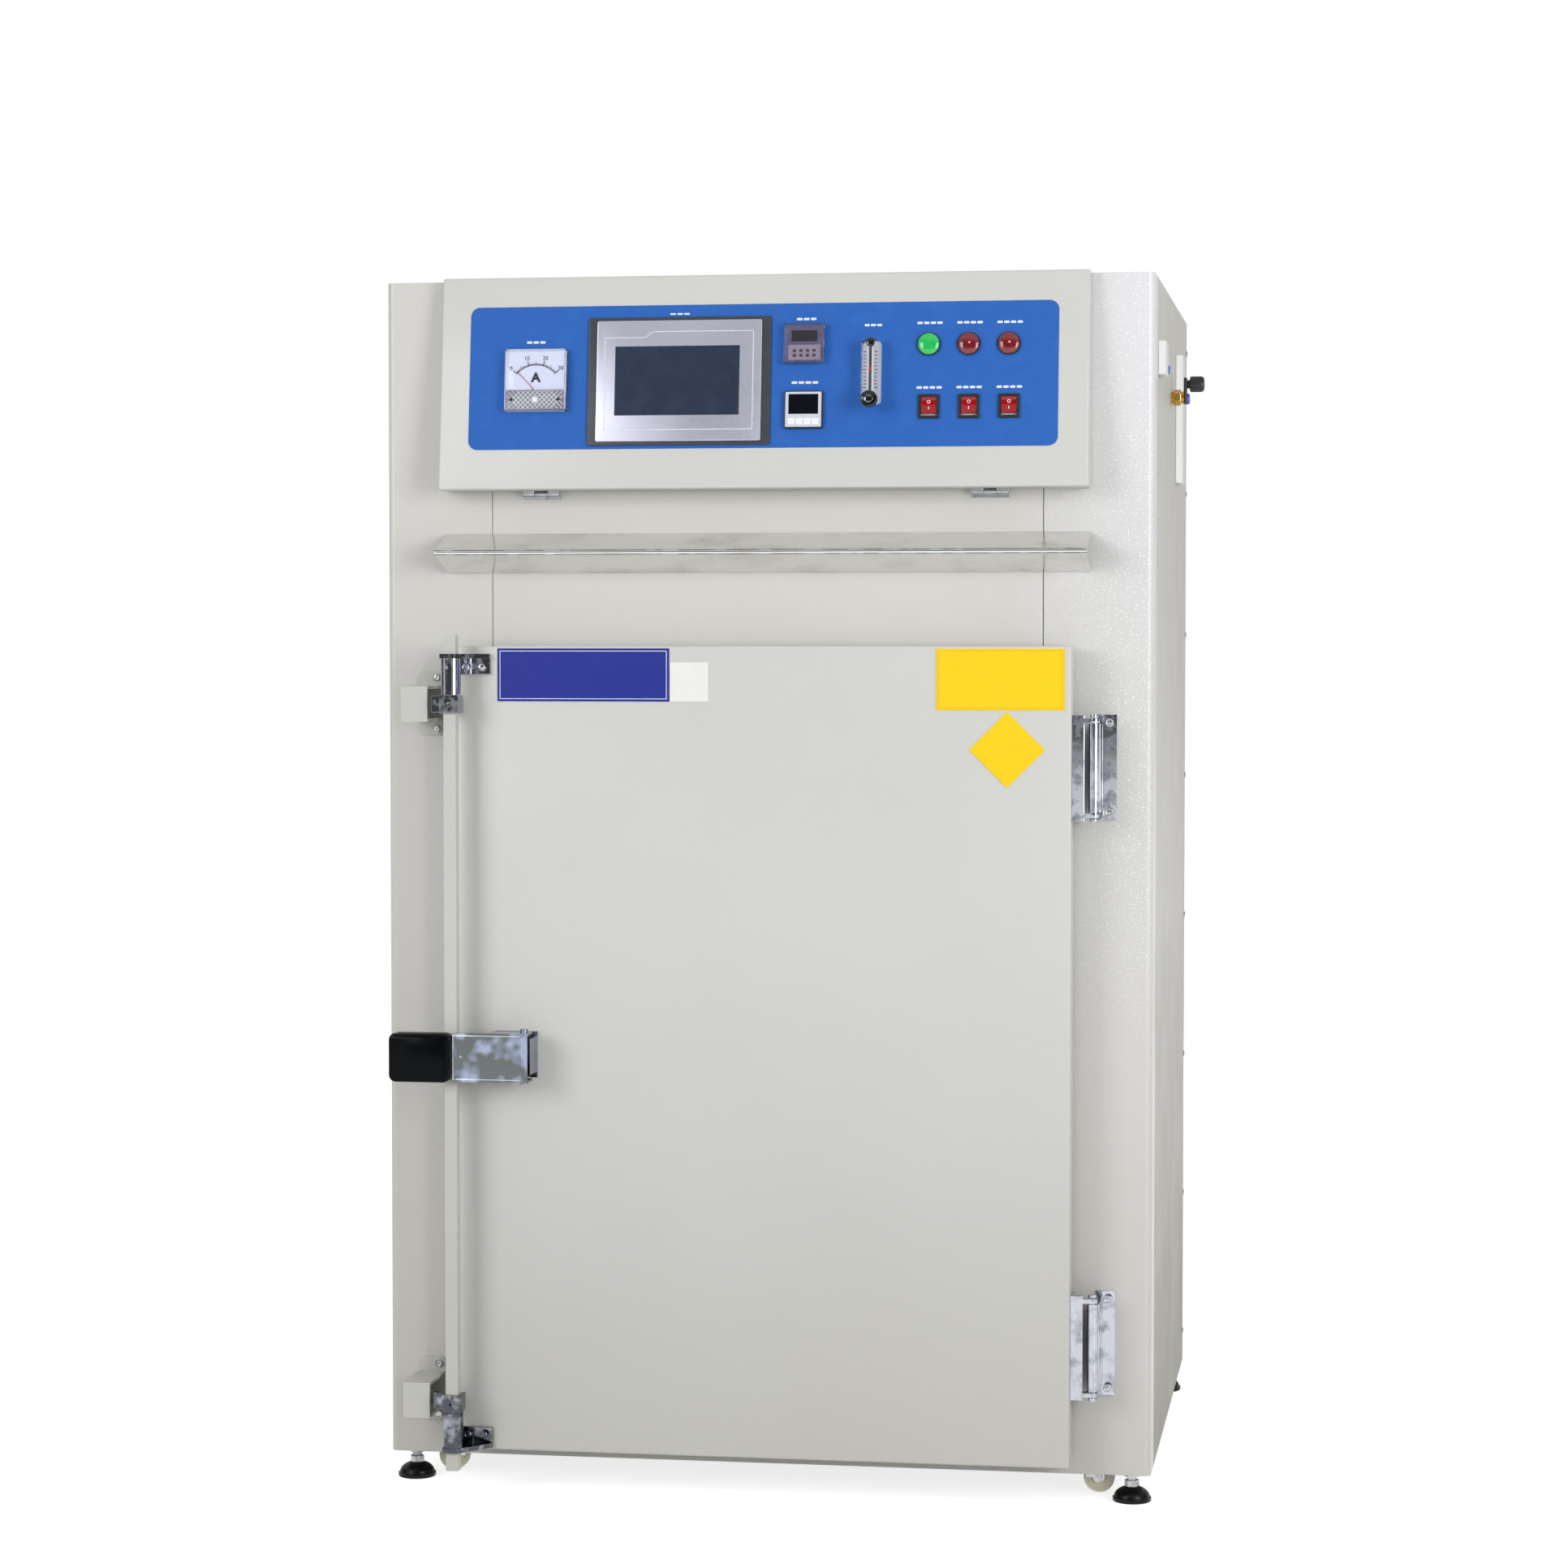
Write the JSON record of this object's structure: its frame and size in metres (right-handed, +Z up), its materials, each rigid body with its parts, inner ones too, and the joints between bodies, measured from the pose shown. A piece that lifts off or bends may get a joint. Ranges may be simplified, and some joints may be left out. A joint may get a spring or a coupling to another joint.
{
  "type": "drying oven",
  "caption": "Floor-standing cabinet drying oven with a lock-bar door, tilting control cover, polished ledge, levelling feet and swivel casters.",
  "frame": {"origin": "middle of the whole object's bounding box in X and Y, at ground level", "axes": "+Z up, -Y towards the door side, +X to the right as seen from the door side"},
  "size_m": [1.046, 0.927, 1.578],
  "materials": {
    "side_panels": "hammered light grey paint",
    "back_panel": "hammered light grey paint",
    "top_panel": "hammered light grey paint",
    "bottom_panel": "grey paint",
    "front_frame": "hammered light grey paint",
    "front_filler": "hammered light grey paint",
    "mouth_frame": "brushed stainless steel",
    "chamber_liner": "satin stainless steel",
    "insulation": "mineral wool",
    "bay_floor": "zinc grey sheet",
    "ledge": "polished stainless steel",
    "keepers": "light grey paint",
    "frame_hinges": "bright plated steel",
    "cover_hinge_fixed": "plated steel",
    "foot_pads": "black rubber",
    "foot_studs": "zinc plated steel",
    "caster_plates": "zinc plated steel",
    "side_covers": "light paint",
    "side_fittings": "turned brass with plastic release rings",
    "door_shell": "hammered light grey paint",
    "door_fill": "mineral wool",
    "door_pan": "satin stainless steel",
    "door_gasket": "red-brown silicone",
    "door_hinges": "bright plated steel",
    "bar_brackets": "chrome plate",
    "handle_base": "chrome plate",
    "door_plate_blue": "gloss blue film",
    "door_plate_white": "white film",
    "door_plates_yellow": "yellow film",
    "lever": "chrome plate",
    "grip": "gloss black plastic",
    "lock_bar": "light grey paint",
    "bar_cams": "chrome plate",
    "cover_shell": "hammered light grey paint",
    "membrane": "satin blue film",
    "ammeter": "white dial in a clear case",
    "screen_unit": "silver bezel round a dark screen",
    "instruments": "black plastic",
    "flow_meter": "clear acrylic",
    "lamps": "coloured lens in a metal rim",
    "switch_frames": "black plastic",
    "cover_hinge_moving": "plated steel",
    "rocker": "red lit plastic",
    "knob": "black plastic",
    "caster_fork": "zinc plated steel",
    "caster_wheel": "cream nylon"
  },
  "bodies": {
    "cabinet": {"side_panels": "side_panels", "back_panel": "back_panel", "top_panel": "top_panel", "bottom_panel": "bottom_panel", "front_frame": "front_frame", "front_filler": "front_filler", "mouth_frame": "mouth_frame", "chamber_liner": "chamber_liner", "insulation": "insulation", "bay_floor": "bay_floor", "ledge": "ledge", "keepers": "keepers", "frame_hinges": "frame_hinges", "cover_hinge_fixed": "cover_hinge_fixed", "foot_pads": "foot_pads", "foot_studs": "foot_studs", "caster_plates": "caster_plates", "side_covers": "side_covers", "side_fittings": "side_fittings"},
    "door": {"door_shell": "door_shell", "door_fill": "door_fill", "door_pan": "door_pan", "door_gasket": "door_gasket", "door_hinges": "door_hinges", "bar_brackets": "bar_brackets", "handle_base": "handle_base", "door_plate_blue": "door_plate_blue", "door_plate_white": "door_plate_white", "door_plates_yellow": "door_plates_yellow"},
    "lever": {"lever": "lever", "grip": "grip"},
    "lock_bar": {"lock_bar": "lock_bar", "bar_cams": "bar_cams"},
    "cover": {"cover_shell": "cover_shell", "membrane": "membrane", "ammeter": "ammeter", "screen_unit": "screen_unit", "instruments": "instruments", "flow_meter": "flow_meter", "lamps": "lamps", "switch_frames": "switch_frames", "cover_hinge_moving": "cover_hinge_moving"},
    "rocker_1": {"rocker_1": "rocker"},
    "rocker_2": {"rocker_2": "rocker"},
    "rocker_3": {"rocker_3": "rocker"},
    "flow_knob": {"flow_knob": "knob"},
    "side_knob": {"side_knob": "knob"},
    "fork_fl": {"caster_fork_fl": "caster_fork"},
    "wheel_fl": {"caster_wheel_fl": "caster_wheel"},
    "fork_fr": {"caster_fork_fr": "caster_fork"},
    "wheel_fr": {"caster_wheel_fr": "caster_wheel"},
    "fork_rl": {"caster_fork_rl": "caster_fork"},
    "wheel_rl": {"caster_wheel_rl": "caster_wheel"},
    "fork_rr": {"caster_fork_rr": "caster_fork"},
    "wheel_rr": {"caster_wheel_rr": "caster_wheel"}
  },
  "joints": [
    {"name": "door_swing", "type": "hinge", "parent": "cabinet", "child": "door", "pos_m": [0.405, -0.3765, 0.58], "axis": [0, 0, 1], "range_deg": [0, 110]},
    {"name": "lever_pull", "type": "hinge", "parent": "door", "child": "lever", "pos_m": [-0.322, -0.4245, 0.575], "axis": [0, 0, 1], "range_deg": [0, 60]},
    {"name": "bar_turn", "type": "hinge", "parent": "door", "child": "lock_bar", "pos_m": [-0.416, -0.4285, 0.575], "axis": [0, 0, 1], "range_deg": [-40, 0]},
    {"name": "cover_tilt", "type": "hinge", "parent": "cabinet", "child": "cover", "pos_m": [-0.023, -0.3465, 1.2985], "axis": [1, 0, 0], "range_deg": [0, 80]},
    {"name": "rocker_tip_1", "type": "hinge", "parent": "cover", "child": "rocker_1", "pos_m": [0.194, -0.37062, 1.40485], "axis": [1, 0, 0], "range_deg": [0, 16]},
    {"name": "rocker_tip_2", "type": "hinge", "parent": "cover", "child": "rocker_2", "pos_m": [0.245, -0.37062, 1.40485], "axis": [1, 0, 0], "range_deg": [0, 16]},
    {"name": "rocker_tip_3", "type": "hinge", "parent": "cover", "child": "rocker_3", "pos_m": [0.296, -0.37062, 1.40485], "axis": [1, 0, 0], "range_deg": [0, 16]},
    {"name": "flow_turn", "type": "hinge", "parent": "cover", "child": "flow_knob", "pos_m": [0.121, -0.3978, 1.41355], "axis": [0, -0.9933, 0.1156], "range_deg": [0, 1080]},
    {"name": "valve_turn", "type": "hinge", "parent": "cabinet", "child": "side_knob", "pos_m": [0.507, 0.0395, 1.458], "axis": [1, 0, 0], "range_deg": [0, 1080]},
    {"name": "swivel_fl", "type": "hinge", "parent": "cabinet", "child": "fork_fl", "pos_m": [-0.443, -0.2705, 0.06], "axis": [0, 0, 1], "continuous": true},
    {"name": "roll_fl", "type": "hinge", "parent": "fork_fl", "child": "wheel_fl", "pos_m": [-0.453, -0.2705, 0.024], "axis": [0, 1, 0], "continuous": true},
    {"name": "swivel_fr", "type": "hinge", "parent": "cabinet", "child": "fork_fr", "pos_m": [0.397, -0.2705, 0.06], "axis": [0, 0, 1], "continuous": true},
    {"name": "roll_fr", "type": "hinge", "parent": "fork_fr", "child": "wheel_fr", "pos_m": [0.407, -0.2705, 0.024], "axis": [0, 1, 0], "continuous": true},
    {"name": "swivel_rl", "type": "hinge", "parent": "cabinet", "child": "fork_rl", "pos_m": [-0.443, 0.3975, 0.06], "axis": [0, 0, 1], "continuous": true},
    {"name": "roll_rl", "type": "hinge", "parent": "fork_rl", "child": "wheel_rl", "pos_m": [-0.453, 0.3975, 0.024], "axis": [0, 1, 0], "continuous": true},
    {"name": "swivel_rr", "type": "hinge", "parent": "cabinet", "child": "fork_rr", "pos_m": [0.397, 0.3975, 0.06], "axis": [0, 0, 1], "continuous": true},
    {"name": "roll_rr", "type": "hinge", "parent": "fork_rr", "child": "wheel_rr", "pos_m": [0.407, 0.3975, 0.024], "axis": [0, 1, 0], "continuous": true}
  ],
  "couplings": [
    {"joint": "bar_turn", "follows": "lever_pull", "ratio": -0.66667}
  ]
}
